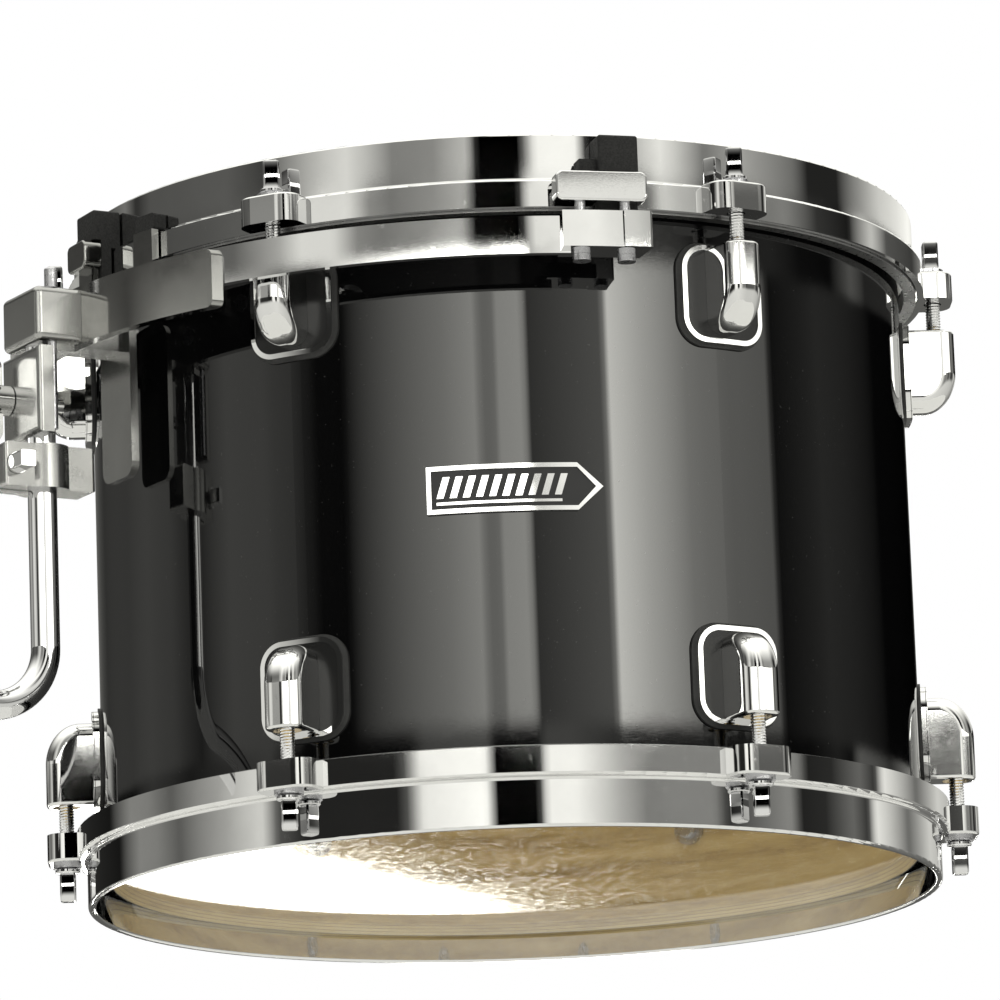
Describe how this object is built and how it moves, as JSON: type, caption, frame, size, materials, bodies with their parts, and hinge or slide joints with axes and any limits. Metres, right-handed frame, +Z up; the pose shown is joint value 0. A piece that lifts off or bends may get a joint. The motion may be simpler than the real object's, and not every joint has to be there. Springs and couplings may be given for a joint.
{
  "type": "tom tom drum",
  "caption": "Short cylindrical tom drum: gloss black wood shell, chrome hoops, lugs and tension rods, two clear heads, and a hoop-gripping suspension mount with an L-shaped rod.",
  "frame": {"origin": "centre of the batter (upper) head, on its playing surface", "axes": "+Z up along the drum axis, out of the batter head; -Y through the badge on the shell; +X to the right when the badge is faced"},
  "size_m": [0.4637, 0.3408, 0.2482],
  "materials": {
    "gloss_black_wrap": "polished black lacquer-like wrap, mirror gloss",
    "maple": "clear satin maple plies",
    "clear_film": "clear polyester drum film",
    "aluminium": "bare rolled channel",
    "gasket_black": "matte",
    "grip_rubber": "matte moulded rubber",
    "brass": "turned",
    "steel": "zinc plated",
    "chrome": "bright chrome plating",
    "chrome_rod": "bright chrome plated steel",
    "chrome_vent": "chrome plated brass",
    "badge_metal": "polished plate with a raised border"
  },
  "bodies": {
    "drum": {"badge": "badge_metal", "bracket_body": "chrome", "clamp_cap": "chrome", "clamp_hinge_pin": "steel", "flesh_hoop_batter": "aluminium", "flesh_hoop_resonant": "aluminium", "grip_rubber_center_front": "grip_rubber", "grip_rubber_center_rear": "grip_rubber", "grip_rubber_end_front": "grip_rubber", "grip_rubber_end_rear": "grip_rubber", "head_film_batter": "clear_film", "head_film_resonant": "clear_film", "hoop_batter": "chrome", "hoop_resonant": "chrome", "lug_batter_1": "chrome", "lug_batter_2": "chrome", "lug_batter_3": "chrome", "lug_batter_4": "chrome", "lug_batter_5": "chrome", "lug_batter_6": "chrome", "lug_gaskets_batter": "gasket_black", "lug_gaskets_resonant": "gasket_black", "lug_resonant_1": "chrome", "lug_resonant_2": "chrome", "lug_resonant_3": "chrome", "lug_resonant_4": "chrome", "lug_resonant_5": "chrome", "lug_resonant_6": "chrome", "lug_screw_washers": "steel", "lug_screws": "steel", "mount_arm_front": "chrome", "mount_arm_rear": "chrome", "mount_center_plate": "chrome", "mount_end_hook_front": "chrome", "mount_end_hook_rear": "chrome", "mount_hook_screws": "steel", "mount_plate_screws": "steel", "mount_stem": "chrome", "rod_washers": "steel", "shell_plies": "maple", "shell_wrap": "gloss_black_wrap", "swivel_nuts": "brass", "vent_grommet": "chrome_vent"},
    "rod_batter_1": {"tension_rod_batter_1": "chrome_rod"},
    "rod_batter_2": {"tension_rod_batter_2": "chrome_rod"},
    "rod_batter_3": {"tension_rod_batter_3": "chrome_rod"},
    "rod_batter_4": {"tension_rod_batter_4": "chrome_rod"},
    "rod_batter_5": {"tension_rod_batter_5": "chrome_rod"},
    "rod_batter_6": {"tension_rod_batter_6": "chrome_rod"},
    "rod_resonant_1": {"tension_rod_resonant_1": "chrome_rod"},
    "rod_resonant_2": {"tension_rod_resonant_2": "chrome_rod"},
    "rod_resonant_3": {"tension_rod_resonant_3": "chrome_rod"},
    "rod_resonant_4": {"tension_rod_resonant_4": "chrome_rod"},
    "rod_resonant_5": {"tension_rod_resonant_5": "chrome_rod"},
    "rod_resonant_6": {"tension_rod_resonant_6": "chrome_rod"},
    "wing_bolt": {"wing_bolt": "chrome"},
    "memory_lock": {"memory_lock": "chrome"},
    "l_rod": {"l_rod": "chrome_rod"},
    "memory_lock_bolt": {"memory_lock_bolt": "chrome"}
  },
  "joints": [
    {"name": "rod_batter_1_turn", "type": "hinge", "parent": "drum", "child": "rod_batter_1", "pos_m": [0.08215, -0.14229, -0.0091], "axis": [0, 0, 1], "range_deg": [-360, 360]},
    {"name": "rod_batter_2_turn", "type": "hinge", "parent": "drum", "child": "rod_batter_2", "pos_m": [0.1643, 0, -0.0091], "axis": [0, 0, 1], "range_deg": [-360, 360]},
    {"name": "rod_batter_3_turn", "type": "hinge", "parent": "drum", "child": "rod_batter_3", "pos_m": [0.08215, 0.14229, -0.0091], "axis": [0, 0, 1], "range_deg": [-360, 360]},
    {"name": "rod_batter_4_turn", "type": "hinge", "parent": "drum", "child": "rod_batter_4", "pos_m": [-0.08215, 0.14229, -0.0091], "axis": [0, 0, 1], "range_deg": [-360, 360]},
    {"name": "rod_batter_5_turn", "type": "hinge", "parent": "drum", "child": "rod_batter_5", "pos_m": [-0.1643, 0, -0.0091], "axis": [0, 0, 1], "range_deg": [-360, 360]},
    {"name": "rod_batter_6_turn", "type": "hinge", "parent": "drum", "child": "rod_batter_6", "pos_m": [-0.08215, -0.14229, -0.0091], "axis": [0, 0, 1], "range_deg": [-360, 360]},
    {"name": "rod_resonant_1_turn", "type": "hinge", "parent": "drum", "child": "rod_resonant_1", "pos_m": [0.08215, -0.14229, -0.2201], "axis": [0, 0, -1], "range_deg": [-360, 360]},
    {"name": "rod_resonant_2_turn", "type": "hinge", "parent": "drum", "child": "rod_resonant_2", "pos_m": [0.1643, 0, -0.2201], "axis": [0, 0, -1], "range_deg": [-360, 360]},
    {"name": "rod_resonant_3_turn", "type": "hinge", "parent": "drum", "child": "rod_resonant_3", "pos_m": [0.08215, 0.14229, -0.2201], "axis": [0, 0, -1], "range_deg": [-360, 360]},
    {"name": "rod_resonant_4_turn", "type": "hinge", "parent": "drum", "child": "rod_resonant_4", "pos_m": [-0.08215, 0.14229, -0.2201], "axis": [0, 0, -1], "range_deg": [-360, 360]},
    {"name": "rod_resonant_5_turn", "type": "hinge", "parent": "drum", "child": "rod_resonant_5", "pos_m": [-0.1643, 0, -0.2201], "axis": [0, 0, -1], "range_deg": [-360, 360]},
    {"name": "rod_resonant_6_turn", "type": "hinge", "parent": "drum", "child": "rod_resonant_6", "pos_m": [-0.08215, -0.14229, -0.2201], "axis": [0, 0, -1], "range_deg": [-360, 360]},
    {"name": "wing_bolt_turn", "type": "hinge", "parent": "drum", "child": "wing_bolt", "pos_m": [-0.17917, -0.08572, -0.0656], "axis": [-0.8763, -0.4818, 0], "range_deg": [-360, 360]},
    {"name": "l_rod_swivel", "type": "hinge", "parent": "drum", "child": "memory_lock", "pos_m": [-0.16737, -0.09201, -0.093], "axis": [0, 0, 1], "range_deg": [-80, 80]},
    {"name": "l_rod_slide", "type": "slide", "parent": "memory_lock", "child": "l_rod", "axis": [0, 0, -1], "range_m": [0, 0.03]},
    {"name": "memory_lock_bolt_turn", "type": "hinge", "parent": "memory_lock", "child": "memory_lock_bolt", "pos_m": [-0.17571, -0.1055, -0.093], "axis": [0.4818, -0.8763, 0], "range_deg": [-360, 360]}
  ]
}
